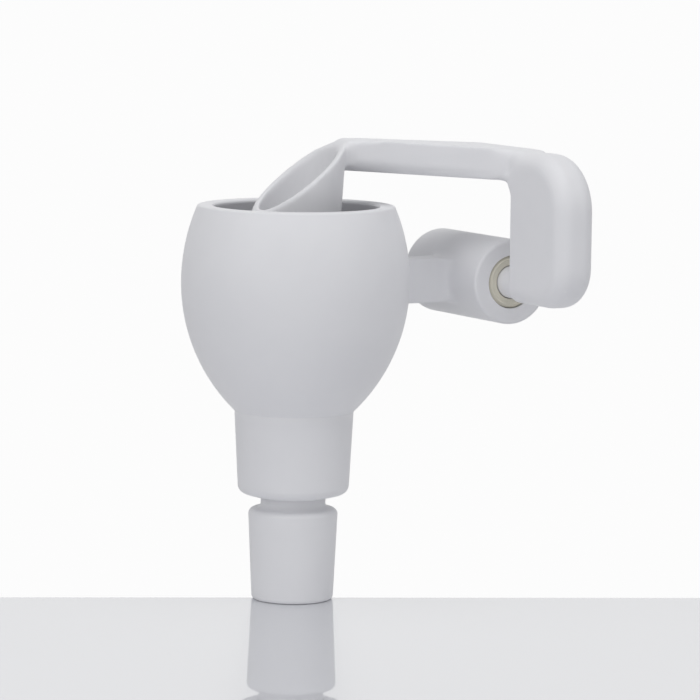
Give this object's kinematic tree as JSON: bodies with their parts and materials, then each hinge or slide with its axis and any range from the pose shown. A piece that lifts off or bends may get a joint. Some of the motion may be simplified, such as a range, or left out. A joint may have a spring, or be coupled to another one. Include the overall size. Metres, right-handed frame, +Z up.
{
  "type": "tilting-spout funnel cup with taper joint",
  "caption": "White plastic egg-shaped funnel cup on a male taper joint, with a hinged overhead arm that holds an oblique-cut pouring spout down in the cup.",
  "frame": {"origin": "centre of the taper joint's bottom face, on the cup's axis", "axes": "+Z up along the cup's axis, +X from the cup to the hinge barrel, -Y to the slab end of the arm"},
  "size_m": [0.1196, 0.1016, 0.1506],
  "materials": {
    "white_plastic": "satin, moulded",
    "bush_plastic": "turned, satin",
    "seal_rubber": "matt, translucent white",
    "screw_steel": "turned"
  },
  "bodies": {
    "cup": {"funnel_bowl": "white_plastic", "outlet_collar": "white_plastic", "joint_cone": "white_plastic", "joint_seal": "seal_rubber", "outlet_seat": "seal_rubber", "pivot_bracket": "white_plastic", "front_bush": "bush_plastic", "rear_bush": "bush_plastic"},
    "arm": {"swing_arm": "white_plastic", "pouring_spout": "white_plastic", "thrust_washer": "bush_plastic", "retaining_screw": "screw_steel"}
  },
  "joints": [
    {"name": "arm_swing", "type": "hinge", "parent": "cup", "child": "arm", "pos_m": [0.0684, 0, 0.1037], "axis": [0, 1, 0], "range_deg": [0, 180]}
  ]
}
